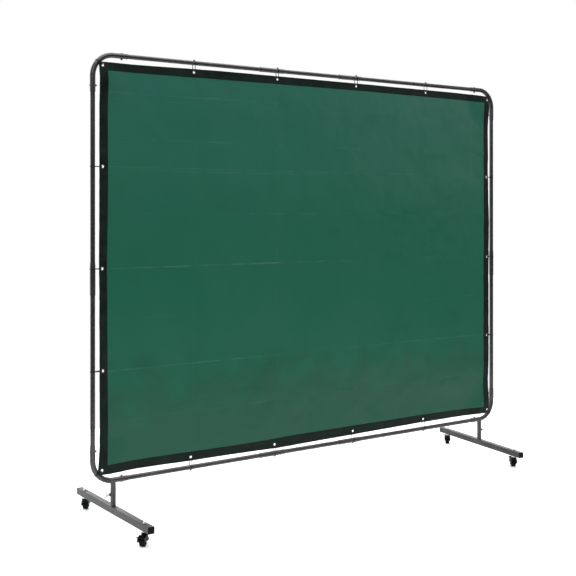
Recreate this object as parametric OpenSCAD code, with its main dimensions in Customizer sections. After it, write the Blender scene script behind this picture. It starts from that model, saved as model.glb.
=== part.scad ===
// Welding curtain screen: a tinted vinyl curtain tied into a round-tube frame,
// on two T-feet that turn under the frame's legs and roll on swivel casters.
// Millimetres. Origin on the floor under the middle of the screen.
// X runs along the screen, Y through it (its front faces -Y) and Z is up.

/* [Frame] */
// Width between the centrelines of the two side tubes
frame_w = 2488; // [2486:1:2500]
// Height between the centrelines of the bottom and top rails
frame_h = 1890; // [1889:1:1900]
// Height of the bottom rail's centreline above the floor
rail_z = 206; // [204:1:230]
// Outside diameter of the straight tubes
tube_d = 22; // [20:1:23]
// Wall of the straight tubes
tube_wall = 1.2; // [1:0.1:1.5]
// Wall of the corner pieces and of the swaged tube ends
sleeve_wall = 1.42; // [1.2:0.02:1.6]
// Radial gap between a tube and the sleeve around it
sleeve_gap = 0.08; // [0.05:0.01:0.1]
// Bend radius of the corners on their centreline
bend_r = 97; // [95:1:98]
// Distance from a corner's sharp centreline corner to the end of each of its arms
corner_arm = 167; // [165:1:180]
// Depth that a tube goes into a corner
corner_lap = 60; // [50:1:62]
// Length of a swaged tube end, with its taper
swage_len = 150; // [145:1:160]
// Length of the taper behind a swaged end
swage_taper = 18; // [10:1:24]
// Depth that a tube goes into a swaged end
swage_lap = 120; // [100:1:120]
// Where the middle tube of each rail begins, along X
rail_joint_left = -363; // [-380:1:-350]
// Where the right tube of each rail begins, along X
rail_joint_right = 124; // [115:1:140]
// Where the upper side tubes begin, above the bottom rail's centreline
side_joint = 826; // [820:1:850]

/* [Curtain] */
// Width of the curtain
curtain_w = 2438; // [2430:1:2438]
// Height of the curtain
curtain_h = 1829; // [1820:1:1829]
// How far the curtain hangs to the right of the frame's middle
curtain_shift_x = 2; // [0:1:5]
// How far the curtain hangs above the frame's middle
curtain_shift_z = 1; // [0:1:6]
// Thickness of the vinyl sheet
panel_t = 0.8; // [0.6:0.1:1]
// Radius that clears the frame's bends at the curtain's corners
curtain_corner_r = 66; // [66:1:72]
// Width of the folded hem
hem_w = 40; // [34:1:50]
// Thickness of the hem over the sheet
hem_t = 2.4; // [2:0.1:2.6]
// Distance from a grommet's centre to the curtain's edge
grommet_inset = 16; // [15:0.5:18]
// Hole through a grommet
grommet_hole_d = 12; // [11:0.5:12]
// Grommets between the corners of the top edge, along X
top_grommets = [-733, -260, 239, 730]; // [-1050:1:1050]
// Grommets between the corners of the bottom edge, along X
bottom_grommets = [-751, -277, 217, 712]; // [-1050:1:1050]
// Grommets between the corners of the left edge, above the bottom rail
left_grommets = [490, 942, 1394]; // [190:1:1690]
// Grommets between the corners of the right edge, above the bottom rail
right_grommets = [479, 931, 1391]; // [190:1:1690]
// Width of a cable tie
tie_w = 3.6; // [3:0.2:4]
// Thickness of a cable tie
tie_t = 1.3; // [1:0.1:1.4]

/* [Feet] */
// Distance from a side tube's centreline to the leg's centreline
leg_inset = 98; // [95:1:110]
// Length of a foot over its end plugs
foot_len = 734; // [715:1:760]
// Way that the left and right feet are turned under their legs, in degrees
foot_turns = [0, -8]; // [-90:1:90]
// Side of the square foot tube
foot_s = 30; // [28:1:32]
// Wall of the foot tube
foot_wall = 1.6; // [1.4:0.1:2]
// Height of the spigot that stands on the foot inside the leg
spigot_h = 88; // [78:1:88]
// Height of the wing bolt above the foot's top face
wing_bolt_h = 52; // [48:1:60]

/* [Casters] */
// Height from the floor to the foot's underside
caster_h = 61; // [60:1:62]
// Distance from the leg to each caster's swivel axis
caster_y = 306; // [280:1:308]
// Diameter of the wheel
wheel_d = 40; // [39:0.5:40]
// Width of the tyre
tyre_w = 22; // [20:1:23]
// Distance from the swivel axis to the axle
trail = 17; // [16:0.5:18]
// Way that each caster trails, in degrees from +X: left near, left far, right near, right far
caster_turns = [-140, 53, 58, 50]; // [-180:1:180]

/* [Hidden] */
casters = [
    ["left_near", -1, -1, caster_turns[0]],
    ["left_far", -1, 1, caster_turns[1]],
    ["right_near", 1, -1, caster_turns[2]],
    ["right_far", 1, 1, caster_turns[3]]
];

$fn = 48;
cut = 1;                 // how far a cutter runs past the face that it cuts
touch_gap = 0.3;         // gap between faces of pieces that move past each other

tube_r = tube_d / 2;
bore_r = tube_r + sleeve_gap;
sleeve_r = bore_r + sleeve_wall;
half_w = frame_w / 2;

frame_bolt_r = 3;
frame_bolt_head_r = 5.5;
frame_bolt_head_h = 3.4;
frame_nut_h = 5;
frame_nut_r = 5.77;
frame_bolt_back = 28;    // from the end of a corner's arm to its bolt
thread_gap = 0.05;

curtain_mid = frame_h / 2 + curtain_shift_z;
hem_edge = 2;            // hem beyond the sheet's own edge
barrel_r = grommet_hole_d / 2 + 1;
flange_r = grommet_hole_d / 2 + 4.5;
flange_t = 0.8;
tie_end_r = 10.5;        // inside radius of a tie where it turns through the grommet
tie_end_in = 14.6;       // that turn's centre, from the grommet towards the tube
tie_head = [3.4, 6, 5];

leg_x = half_w - leg_inset;
foot_top = caster_h + foot_s;
leg_bottom = foot_top + touch_gap;
leg_plug = 2;            // metal left between the leg's bore and the corner's underside
wing_bolt_z = foot_top + wing_bolt_h;
wing_bolt_r = 4;
leg_nut_h = 6.5;
leg_nut_r = 7.5;
plug_flange = 2;
plug_depth = 14;
stem_r = 4;
stem_hole_r = 4.2;

wheel_r = wheel_d / 2;
hub_r = 14;
axle_r = 3;
axle_gap = 0.06;
cheek_in = 14.5;         // inside face of a fork cheek, from the wheel's middle
cheek_out = 17;          // outside face of a fork cheek
hood_in_r = wheel_r + 2.3;
hood_out_r = wheel_r + 5;
head_r = 14;
head_top = caster_h - 6;
head_bottom = head_top - 10;
cup_r = 13;
pedal_x = 16;            // pedal pivot, from the axle along the trail
pedal_z = 17;            // pedal pivot above the axle
pedal_hub_r = 3;
pedal_pin_r = 1.5;
pedal_tilt = 20;
pedal_reach = 20;
pedal_w = 36;

paint_dark = [0.20, 0.20, 0.21];
paint_grey = [0.44, 0.44, 0.45];
black = [0.05, 0.05, 0.05];
zinc = [0.75, 0.76, 0.78];
vinyl_green = [0.11, 0.33, 0.27];
hem_black = [0.09, 0.10, 0.10];

// The curtain's grommets: position along X, height, angle towards the tube, distance to
// the tube's centreline, and the radius of the tube or sleeve that the tie goes round
function on_swage(at, joint) = at > joint - tie_w && at < joint + swage_len;
function rail_radius(x) =
    on_swage(x, rail_joint_left) || on_swage(x, rail_joint_right) ? sleeve_r : tube_r;
function side_radius(z) = on_swage(z, side_joint) ? sleeve_r : tube_r;
grommet_dx = curtain_w / 2 - grommet_inset;
grommet_dz = curtain_h / 2 - grommet_inset;
bend_x = half_w - bend_r;
bend_dz = frame_h / 2 - bend_r;
corner_in = curtain_corner_r - (curtain_corner_r - grommet_inset) * sqrt(1 / 2);
function corner_tie(sx, sz) =
    let (
        x = curtain_shift_x + sx * (curtain_w / 2 - corner_in),
        z = curtain_mid + sz * (curtain_h / 2 - corner_in),
        from_bend = [x - sx * bend_x, z - frame_h / 2 - sz * bend_dz]
    )
    [x, z, atan2(from_bend[1], from_bend[0]), bend_r - norm(from_bend), sleeve_r];
ties = [
    for (x = top_grommets) let (z = curtain_mid + grommet_dz)
        [x, z, 90, frame_h - z, rail_radius(x)],
    for (x = bottom_grommets) let (z = curtain_mid - grommet_dz)
        [x, z, -90, z, rail_radius(x)],
    for (z = right_grommets) let (x = curtain_shift_x + grommet_dx)
        [x, z, 0, half_w - x, side_radius(z)],
    for (z = left_grommets) let (x = curtain_shift_x - grommet_dx)
        [x, z, 180, half_w + x, side_radius(z)],
    for (sx = [-1, 1], sz = [-1, 1]) corner_tie(sx, sz)
];

// ---- helpers ----

// Mirrors to the left side where side is -1
module on_side(side) {
    if (side < 0) mirror([1, 0, 0]) children();
    else children();
}

// From the frame's own heights, which start at the bottom rail, to heights above the floor
module on_frame() { translate([0, 0, rail_z]) children(); }

// Turns the frame upside down, for the top corners
module upside_down() { translate([0, 0, frame_h]) mirror([0, 0, 1]) children(); }

// A bar or ring section along a bottom right corner's centreline
module along_corner(over = 0) {
    translate([bend_x, 0, bend_r]) rotate([90, 0, 0]) rotate([0, 0, -90])
        rotate_extrude(angle = 90, $fn = 96) translate([bend_r, 0]) children();
    translate([half_w, 0, bend_r]) linear_extrude(corner_arm - bend_r + over) children();
    translate([half_w - corner_arm - over, 0, 0]) rotate([0, 90, 0])
        linear_extrude(corner_arm - bend_r + over) children();
}

// Places children at the eight frame bolts, +Z pointing out of the frame
module at_frame_bolts() {
    arm = corner_arm - frame_bolt_back;
    for (side = [-1, 1]) on_side(side) {
        translate([half_w - arm, 0, 0]) rotate([180, 0, 0]) children();
        translate([half_w - arm, 0, frame_h]) children();
        translate([half_w, 0, arm]) rotate([0, 90, 0]) children();
        translate([half_w, 0, frame_h - arm]) rotate([0, 90, 0]) children();
    }
}

module frame_bolt_holes() {
    at_frame_bolts() cylinder(r = frame_bolt_r + 0.1, h = 2 * sleeve_r + 2 * cut, center = true);
}

// A hollow tube up from the origin; a swaged one starts with its wide end
module tube_run(length, swaged = false) {
    if (swaged)
        rotate_extrude() polygon([
            [bore_r, 0], [sleeve_r, 0], [sleeve_r, swage_len - swage_taper],
            [tube_r, swage_len], [tube_r, length], [tube_r - tube_wall, length],
            [tube_r - tube_wall, swage_len], [bore_r, swage_len - swage_taper]
        ]);
    else
        difference() {
            cylinder(r = tube_r, h = length);
            translate([0, 0, -cut]) cylinder(r = tube_r - tube_wall, h = length + 2 * cut);
        }
}

// Outline of a loop drawn round two circles on X: r1 at the origin and r2 at a distance
module loop_outline(distance, r1, r2) {
    steps = 16;
    lean = acos((r1 - r2) / distance);
    polygon([
        for (i = [0 : steps]) let (a = lean * (2 * i / steps - 1))
            [distance + r2 * cos(a), r2 * sin(a)],
        for (i = [0 : steps]) let (a = lean + (360 - 2 * lean) * i / steps)
            [r1 * cos(a), r1 * sin(a)]
    ]);
}

module round_square(side, r) {
    square([side, side - 2 * r], center = true);
    square([side - 2 * r, side], center = true);
    for (x = [-1, 1], y = [-1, 1]) translate([x, y] * (side / 2 - r)) circle(r = r, $fn = 32);
}

// ---- frame ----

module top_corner(side) {
    color(paint_dark) on_frame() on_side(side) difference() {
        upside_down() along_corner() difference() {
            circle(r = sleeve_r);
            circle(r = bore_r);
        }
        frame_bolt_holes();
    }
}

// A bottom corner with the leg that is welded under it
module leg_corner(side) {
    leg_top_bore = rail_z - sleeve_r - leg_plug;
    color(paint_dark) on_side(side) difference() {
        union() {
            on_frame() along_corner() circle(r = sleeve_r);
            translate([leg_x, 0, leg_bottom]) cylinder(r = sleeve_r, h = rail_z - leg_bottom);
        }
        on_frame() along_corner(over = cut) circle(r = bore_r);
        on_frame() frame_bolt_holes();
        translate([leg_x, 0, leg_bottom - cut])
            cylinder(r = bore_r, h = leg_top_bore - leg_bottom + cut);
        translate([leg_x, 0, wing_bolt_z]) rotate([0, 90, 0])
            cylinder(r = wing_bolt_r + 0.3, h = sleeve_r + cut);
    }
}

module rail(x0, x1, z, swaged = false) {
    color(paint_dark) on_frame() difference() {
        translate([x0, 0, z]) rotate([0, 90, 0]) tube_run(x1 - x0, swaged);
        frame_bolt_holes();
    }
}

module side_tube(side, z0, z1, swaged = false) {
    color(paint_dark) on_frame() difference() {
        translate([side * half_w, 0, z0]) tube_run(z1 - z0, swaged);
        frame_bolt_holes();
    }
}

module frame_bolts() {
    shank = 2 * sleeve_r + frame_nut_h + 1.5;
    color(zinc) on_frame() at_frame_bolts() {
        translate([0, 0, sleeve_r - shank]) cylinder(r = frame_bolt_r, h = shank);
        translate([0, 0, sleeve_r]) intersection() {
            cylinder(r = frame_bolt_head_r, h = frame_bolt_head_h);
            translate([0, 0, -3]) sphere(r = 6.4);
        }
    }
}

module frame_nuts() {
    color(zinc) on_frame() at_frame_bolts() translate([0, 0, -sleeve_r - frame_nut_h]) difference() {
        cylinder(r = frame_nut_r, h = frame_nut_h, $fn = 6);
        translate([0, 0, -cut]) cylinder(r = frame_bolt_r + thread_gap, h = frame_nut_h + 2 * cut);
    }
}

// The nut welded on each leg for its wing bolt
module leg_nuts() {
    color(black) for (side = [-1, 1]) on_side(side) translate([leg_x, 0, wing_bolt_z]) difference() {
        rotate([0, 90, 0]) translate([0, 0, sleeve_r - 2])
            cylinder(r = leg_nut_r, h = leg_nut_h + 2, $fn = 6);
        cylinder(r = sleeve_r + 0.02, h = 3 * leg_nut_r, center = true);
        rotate([0, 90, 0]) cylinder(r = wing_bolt_r + sleeve_gap, h = 3 * sleeve_r);
    }
}

// ---- curtain ----

module grommet_holes() {
    for (t = ties) translate([t[0], 0, t[1]]) rotate([90, 0, 0])
        cylinder(r = barrel_r + thread_gap, h = 2 * hem_t, center = true);
}

// A plate of the curtain's outline, moved in from its edge
module curtain_plate(thickness, inset, corner_r) {
    w = curtain_w - 2 * inset;
    h = curtain_h - 2 * inset;
    translate([curtain_shift_x, 0, curtain_mid])
        rotate([90, 0, 0]) linear_extrude(thickness, center = true) {
        square([w, h - 2 * corner_r], center = true);
        square([w - 2 * corner_r, h], center = true);
        for (x = [-1, 1], y = [-1, 1])
            translate([x * (w / 2 - corner_r), y * (h / 2 - corner_r)]) circle(r = corner_r);
    }
}

module curtain_sheet() { curtain_plate(panel_t, hem_edge, curtain_corner_r - hem_edge); }

module curtain_panel() {
    color(vinyl_green) on_frame() difference() {
        curtain_sheet();
        grommet_holes();
    }
}

module curtain_hem() {
    color(hem_black) on_frame() difference() {
        curtain_plate(hem_t, 0, curtain_corner_r);
        translate([curtain_shift_x, 0, curtain_mid])
            cube([curtain_w - 2 * hem_w, hem_t + 2 * cut, curtain_h - 2 * hem_w], center = true);
        curtain_sheet();
        grommet_holes();
    }
}

module grommets() {
    face = hem_t / 2;
    hole_r = grommet_hole_d / 2;
    color(black) on_frame() for (t = ties) translate([t[0], 0, t[1]]) rotate([90, 0, 0])
        rotate_extrude() polygon([
            [hole_r, -face - flange_t], [flange_r, -face - flange_t], [flange_r, -face],
            [barrel_r, -face], [barrel_r, face], [flange_r, face],
            [flange_r, face + flange_t], [hole_r, face + flange_t]
        ]);
}

// One tie: a band through the grommet and round the tube, with its head beyond the tube
module cable_tie(reach, tube_radius) {
    round_r = tube_radius + touch_gap;
    run = reach - tie_end_in;
    translate([tie_end_in, 0, 0]) {
        linear_extrude(tie_w, center = true) difference() {
            loop_outline(run, tie_end_r + tie_t, round_r + tie_t);
            loop_outline(run, tie_end_r, round_r);
        }
        translate([run + round_r + tie_t + tie_head[0] / 2 - touch_gap, 0, 0])
            cube(tie_head, center = true);
    }
}

module cable_ties() {
    color(black) on_frame() for (t = ties) translate([t[0], 0, t[1]]) rotate([0, -t[2], 0])
        cable_tie(t[3], t[4]);
}

// ---- feet ----

// Places children under a leg, turned as its foot is
module at_foot(side) {
    translate([side * leg_x, 0, 0]) rotate([0, 0, foot_turns[side < 0 ? 0 : 1]]) children();
}

module foot_tube(side) {
    length = foot_len - 2 * plug_flange;
    color(paint_grey) at_foot(side) translate([0, 0, caster_h + foot_s / 2]) difference() {
        rotate([90, 0, 0]) linear_extrude(length, center = true) round_square(foot_s, 2.5);
        rotate([90, 0, 0]) linear_extrude(length + 2 * cut, center = true)
            round_square(foot_s - 2 * foot_wall, 1);
        for (y = [-1, 1]) translate([0, y * caster_y, 0])
            cylinder(r = stem_hole_r, h = foot_s + 2 * cut, center = true);
    }
}

module foot_spigot(side) {
    color(paint_grey) at_foot(side) translate([0, 0, foot_top]) difference() {
        cylinder(r = tube_r, h = spigot_h);
        translate([0, 0, -cut]) cylinder(r = tube_r - foot_wall, h = spigot_h + 2 * cut);
    }
}

module foot_plugs(side) {
    inside = foot_s - 2 * foot_wall - 0.2;
    color(black) at_foot(side) for (turn = [0, 180])
        translate([0, 0, caster_h + foot_s / 2]) rotate([0, 0, turn])
            translate([0, foot_len / 2, 0]) rotate([90, 0, 0]) {
                linear_extrude(plug_flange) round_square(foot_s, 2.5);
                linear_extrude(plug_flange + plug_depth) round_square(inside, 1);
            }
}

// A washer and a domed cap nut on top of each caster stem
module foot_stem_nuts(side) {
    washer_h = 1.6;
    nut_h = 6.5;
    color(zinc) at_foot(side) for (y = [-1, 1]) translate([0, y * caster_y, foot_top]) difference() {
        union() {
            cylinder(r = 9, h = washer_h);
            translate([0, 0, washer_h]) cylinder(r = 7.2, h = nut_h - 1.5, $fn = 6);
            translate([0, 0, washer_h + nut_h - 4]) intersection() {
                sphere(r = 6.2);
                cylinder(r = 6.2, h = 6.2);
            }
        }
        translate([0, 0, -cut]) cylinder(r = stem_r + thread_gap, h = washer_h + nut_h - 1 + cut);
    }
}

module wing() {
    linear_extrude(2.8, center = true) hull() {
        translate([2, 2.5]) circle(r = 2.5, $fn = 24);
        translate([7.5, 8.5]) circle(r = 2.8, $fn = 24);
        translate([1, 6]) circle(r = 1.5, $fn = 24);
    }
}

module wing_bolt(side) {
    tip = tube_r + touch_gap;
    hub_at = sleeve_r + leg_nut_h + 8;
    color(zinc) on_side(side) translate([leg_x, 0, wing_bolt_z]) rotate([0, 90, 0]) {
        translate([0, 0, tip]) cylinder(r = wing_bolt_r, h = hub_at - tip + 1);
        translate([0, 0, hub_at]) cylinder(r1 = 6.5, r2 = 5, h = 8);
        for (turn = [20, 200]) rotate([0, 0, turn]) translate([3, 0, hub_at]) rotate([90, 0, 0]) wing();
    }
}

// ---- casters, each drawn trailing along +X from its swivel axis ----

// Turns a cylinder's axis to Y, through the axle's place moved by x and z
module across(x = 0, z = 0) { translate([trail + x, 0, wheel_r + z]) rotate([90, 0, 0]) children(); }

module caster_stem() {
    color(zinc) {
        translate([0, 0, head_bottom - 2.4]) cylinder(r = 6, h = 2.1);
        translate([0, 0, head_bottom - 1]) cylinder(r = stem_r, h = foot_top - head_bottom + 7);
        translate([0, 0, head_top + touch_gap])
            cylinder(r = cup_r, h = caster_h - head_top - touch_gap);
    }
}

module caster_fork() {
    open_x = trail + 9;
    color(black) difference() {
        union() {
            translate([0, 0, head_bottom - 8]) cylinder(r = head_r, h = head_top - head_bottom + 8);
            intersection() {
                across() cylinder(r = hood_out_r, h = 2 * cheek_out, center = true);
                translate([-50, -50, wheel_r + 2]) cube([100, 100, 50]);
            }
            across() cylinder(r = 8, h = 2 * cheek_out, center = true);
            translate([trail - 8, -cheek_out, wheel_r]) cube([16, 2 * cheek_out, 8]);
            across(pedal_x, pedal_z) cylinder(r = 4.2, h = 2 * cheek_out, center = true);
        }
        across() cylinder(r = hood_in_r, h = 2 * cheek_in, center = true);
        translate([open_x, -cheek_in, wheel_r - 10]) cube([40, 2 * cheek_in, 50]);
        translate([0, 0, head_bottom - 20]) cylinder(r = 6.4, h = 20);
        translate([0, 0, head_bottom - cut])
            cylinder(r = stem_r + sleeve_gap, h = head_top - head_bottom + 2 * cut);
        across() cylinder(r = axle_r + thread_gap, h = 2 * cheek_out + 2 * cut, center = true);
        across(pedal_x, pedal_z)
            cylinder(r = pedal_pin_r + axle_gap, h = 2 * cheek_out + 2 * cut, center = true);
    }
}

module caster_axle() {
    color(zinc) across() {
        cylinder(r = axle_r, h = 2 * cheek_out + 1, center = true);
        for (end = [0, 180]) rotate([end, 0, 0]) translate([0, 0, cheek_out])
            cylinder(r1 = 5, r2 = 3.6, h = 1.8);
    }
}

module caster_hub() {
    boss = cheek_in - touch_gap;
    rim = tyre_w / 2;
    color(black) across() rotate_extrude() polygon([
        [axle_r + axle_gap, -boss], [5.5, -boss], [6, -rim + 4], [11, -rim + 4], [11.5, -rim],
        [hub_r, -rim], [hub_r, rim], [11.5, rim], [11, rim - 4], [6, rim - 4],
        [5.5, boss], [axle_r + axle_gap, boss]
    ]);
}

module caster_tyre() {
    rim = tyre_w / 2;
    shoulder = 3;
    color(black) across() rotate_extrude($fn = 72) difference() {
        union() {
            translate([hub_r, -rim]) square([wheel_r - shoulder - hub_r, tyre_w]);
            translate([hub_r, -rim + shoulder]) square([wheel_r - hub_r, tyre_w - 2 * shoulder]);
            for (y = [-1, 1]) translate([wheel_r - shoulder, y * (rim - shoulder)])
                circle(r = shoulder, $fn = 32);
        }
        for (y = [-1, 1]) translate([wheel_r, y * 4]) circle(r = 0.7, $fn = 16);
    }
}

module caster_pedal() {
    plate_x = hood_out_r - pedal_x + 1;
    color(black) across(pedal_x, pedal_z) {
        cylinder(r = pedal_hub_r, h = 2 * (cheek_in - touch_gap), center = true);
        cylinder(r = pedal_pin_r, h = 2 * cheek_out, center = true);
        rotate([0, 0, pedal_tilt]) {
            translate([0, 0.4, -cheek_in + 2]) cube([pedal_reach, 2.6, 2 * (cheek_in - 2)]);
            translate([plate_x, 0.4, 0]) rotate([-90, 0, 0])
                linear_extrude(2.6) pedal_outline(pedal_reach - plate_x);
            translate([pedal_reach - 2.4, 0.4, -pedal_w / 2 + 5]) cube([2.4, 4.6, pedal_w - 10]);
        }
    }
}

// The pedal's toe plate: a rectangle with rounded outer corners
module pedal_outline(depth) {
    r = 4;
    translate([0, -pedal_w / 2]) square([depth - r, pedal_w]);
    translate([0, -pedal_w / 2 + r]) square([depth, pedal_w - 2 * r]);
    for (y = [-1, 1]) translate([depth - r, y * (pedal_w / 2 - r)]) circle(r = r, $fn = 32);
}

module at_caster(c) {
    at_foot(c[1]) translate([0, c[2] * caster_y, 0])
        rotate([0, 0, c[3] - foot_turns[c[1] < 0 ? 0 : 1]]) children();
}

// ---- what is drawn ----

rail_end = half_w - corner_arm + corner_lap;
side_low = corner_arm - corner_lap;
side_high = frame_h - side_low;
left_lap = rail_joint_left + swage_lap;
right_lap = rail_joint_right + swage_lap;
side_lap = side_joint + swage_lap;

top_corner(-1);  // corner_top_left
top_corner(1);  // corner_top_right
leg_corner(-1);  // corner_bottom_left
leg_corner(1);  // corner_bottom_right
rail(-rail_end, left_lap, frame_h);  // rail_top_left
rail(rail_joint_left, right_lap, frame_h, true);  // rail_top_middle
rail(rail_joint_right, rail_end, frame_h, true);  // rail_top_right
rail(-rail_end, left_lap, 0);  // rail_bottom_left
rail(rail_joint_left, right_lap, 0, true);  // rail_bottom_middle
rail(rail_joint_right, rail_end, 0, true);  // rail_bottom_right
side_tube(-1, side_low, side_lap);  // side_left_lower
side_tube(-1, side_joint, side_high, true);  // side_left_upper
side_tube(1, side_low, side_lap);  // side_right_lower
side_tube(1, side_joint, side_high, true);  // side_right_upper
frame_bolts();
frame_nuts();
leg_nuts();
curtain_panel();
curtain_hem();
grommets();
cable_ties();
foot_tube(-1);  // foot_left_tube
foot_spigot(-1);  // foot_left_spigot
foot_plugs(-1);  // foot_left_plugs
foot_stem_nuts(-1);  // foot_left_stem_nuts
foot_tube(1);  // foot_right_tube
foot_spigot(1);  // foot_right_spigot
foot_plugs(1);  // foot_right_plugs
foot_stem_nuts(1);  // foot_right_stem_nuts
wing_bolt(-1);  // wing_bolt_left
wing_bolt(1);  // wing_bolt_right
for (c = casters) {
    at_caster(c) caster_stem();
    at_caster(c) caster_fork();
    at_caster(c) caster_axle();
    at_caster(c) caster_hub();
    at_caster(c) caster_tyre();
    at_caster(c) caster_pedal();
}
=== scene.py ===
"""Visual model of a rolling welding curtain screen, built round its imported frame.

Everything is in metres in the part's own frame: X along the screen, Y through it with the
front facing -Y, Z up from the floor.
"""

import functools
import math

import bmesh
import bpy
import numpy as np
from bpy.props import (
    FloatProperty,
    FloatVectorProperty,
    PointerProperty,
)
from mathutils import Matrix, Vector, noise


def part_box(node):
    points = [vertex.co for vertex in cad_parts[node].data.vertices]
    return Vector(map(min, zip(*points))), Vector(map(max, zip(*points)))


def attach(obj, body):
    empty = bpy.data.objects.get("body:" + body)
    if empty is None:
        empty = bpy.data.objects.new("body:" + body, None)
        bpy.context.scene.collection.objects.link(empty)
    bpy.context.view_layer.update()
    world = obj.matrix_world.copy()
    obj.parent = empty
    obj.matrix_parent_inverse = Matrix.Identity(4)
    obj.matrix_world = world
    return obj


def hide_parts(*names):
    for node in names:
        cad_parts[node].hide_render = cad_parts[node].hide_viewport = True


bl_info = {
    "name": "Welding curtain screen",
    "version": (1, 0, 0),
    "blender": (4, 5, 0),
    "location": "3D View > Sidebar > Screen",
    "description": "Builds the curtain, hem, eyelets, ties and finishes of a welding screen",
    "category": "Object",
}

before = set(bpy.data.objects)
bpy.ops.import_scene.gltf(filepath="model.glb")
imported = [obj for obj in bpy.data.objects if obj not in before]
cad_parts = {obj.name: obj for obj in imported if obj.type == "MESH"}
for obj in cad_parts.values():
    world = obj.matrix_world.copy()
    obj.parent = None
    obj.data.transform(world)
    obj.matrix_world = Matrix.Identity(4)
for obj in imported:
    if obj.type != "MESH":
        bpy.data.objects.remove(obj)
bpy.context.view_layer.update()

MM = 0.001
FRAME_BODY = "frame"

# The curtain's outline, from its CAD solid
HEM_LOW, HEM_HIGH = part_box("curtain_hem")
CURTAIN_W = HEM_HIGH.x - HEM_LOW.x
CURTAIN_H = HEM_HIGH.z - HEM_LOW.z
CURTAIN_LEFT, CURTAIN_RIGHT = HEM_LOW.x, HEM_HIGH.x
CURTAIN_BOTTOM, CURTAIN_TOP = HEM_LOW.z, HEM_HIGH.z
CORNER_R = 9 * MM
HEM_WIDTH = 40 * MM
HEM_FADE = 90 * MM

# An eyelet's flange, the hole cut for it, and how far a corner's eyelet sits in from the edges;
# the CAD keeps its corner eyelets further in, clear of the tubes
FLANGE_R = 10.5 * MM
EYELET_HOLE_R = 7.4 * MM
PUNCH_REACH = 8 * MM
CORNER_EYELET_INSET = 17 * MM

# How far the curtain's corners come forward to pass in front of the bent tubes
CORNER_FORWARD = 15.8 * MM
CORNER_FLAT = 52 * MM
CORNER_RAMP = 190 * MM

# The simulated drape: its grid, its length in frames and the most that a point may move
DRAPE_COLUMNS, DRAPE_ROWS = 97, 73
DRAPE_FRAMES = 40
DRAPE_LIMIT = 6 * MM

# Where the sheet starts to bow, in from its edge, and over what distance it comes to bow fully
BOW_START = 20 * MM
BOW_RAMP = 80 * MM

# How far a fold line wanders from straight
FOLD_WANDER = 3 * MM

# A tie's band round the hem's edge: how far past the eyelet it turns, and the turn's radius
TIE_TURN_IN = 14.6 * MM
TIE_TURN_R = 10.5 * MM

# The same at a corner, where the band turns round two points
CORNER_TIE_TURNS = (6.2 * MM, 26.5 * MM)
CORNER_TIE_TURN_R = 3.4 * MM

# Tube centrelines and radii, from the CAD tubes
SIDE_LOW, SIDE_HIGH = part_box("side_right_lower")
TUBE_R = (SIDE_HIGH.x - SIDE_LOW.x) / 2
SIDE_X = (SIDE_HIGH.x + SIDE_LOW.x) / 2
RAIL_LOW, RAIL_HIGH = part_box("rail_bottom_left")
BOTTOM_RAIL_Z = (RAIL_LOW.z + RAIL_HIGH.z) / 2
TOP_RAIL_LOW, TOP_RAIL_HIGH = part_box("rail_top_left")
TOP_RAIL_Z = (TOP_RAIL_LOW.z + TOP_RAIL_HIGH.z) / 2
CORNER_LOW, CORNER_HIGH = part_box("corner_top_right")
SLEEVE_R = (CORNER_HIGH.y - CORNER_LOW.y) / 2
BEND_R = 97 * MM
SWAGE_STRAIGHT = 132 * MM


def swage_span(node, axis):
    """Where the wide straight part of a swaged tube lies along an axis."""
    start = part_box(node)[0][axis]
    return start, start + SWAGE_STRAIGHT


RAIL_SWAGES = [swage_span("rail_top_middle", 0), swage_span("rail_top_right", 0)]
SIDE_SWAGE = swage_span("side_right_upper", 2)


# ---- settings ----


def length(name, value, about):
    return FloatProperty(name=name, description=about, default=value, unit="LENGTH", precision=4)


def colour(name, value, about):
    return FloatVectorProperty(
        name=name, description=about, default=value, subtype="COLOR", size=3, min=0, max=1
    )


def factor(name, value, about):
    return FloatProperty(
        name=name, description=about, default=value, subtype="FACTOR", min=0, max=1
    )


class CurtainSettings(bpy.types.PropertyGroup):
    crease_height: length("Crease height", 0.35 * MM, "How far a fold line stands out of the sheet")
    crease_width: length("Crease width", 2.2 * MM, "Half width of a fold line")
    panel_bulge: length("Panel bulge", 1.6 * MM, "How far the sheet bows between two fold lines")
    slack: factor("Slack", 0.0006, "How much larger the sheet is than the frame holds it")
    sheet_green: colour("Sheet green", (0.0165, 0.099, 0.068), "Colour of the tinted vinyl")
    sheet_deep: colour("Deep green", (0.0105, 0.091, 0.055), "Darker patches of the vinyl")
    crease_pale: colour("Crease", (0.075, 0.150, 0.112), "Whitened vinyl along a fold line")
    # Haze: painted reflection of the floor and surroundings, laid as a darker tint over the bottom of
    # the sheet
    reflection_tint: colour("Haze", (0.0122, 0.070, 0.043), "Dusty bloom near the bottom of the sheet")
    roughness: factor("Roughness", 0.34, "Gloss of the sheet")


class HemSettings(bpy.types.PropertyGroup):
    width: length("Hem width", HEM_WIDTH, "Width of the folded hem")
    thickness: length("Hem thickness", 2.4 * MM, "Thickness of the hem over the sheet")
    stitch_long: length("Stitch length", 6.5 * MM, "Length of one stitch")
    stitch_gap: length("Stitch gap", 2.5 * MM, "Gap between two stitches")
    black: colour("Hem black", (0.0048, 0.0100, 0.0080), "Colour of the hem")
    thread: colour("Thread", (0.012, 0.013, 0.013), "Colour of the stitching thread")


class FinishSettings(bpy.types.PropertyGroup):
    frame_paint: colour("Frame paint", (0.050, 0.050, 0.053), "Powder coat of the tube frame")
    foot_paint: colour("Foot paint", (0.040, 0.040, 0.0415), "Powder coat of the feet")
    zinc: colour("Zinc", (0.60, 0.61, 0.63), "Plated bolts, nuts and wing bolts")
    nylon: colour("Nylon", (0.0035, 0.0035, 0.0038), "Moulded caster and plug plastic")
    rubber: colour("Tyre rubber", (0.006, 0.006, 0.0062), "Caster tyres")
    eyelet: colour("Eyelet", (0.028, 0.029, 0.030), "Plated eyelets")


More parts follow.
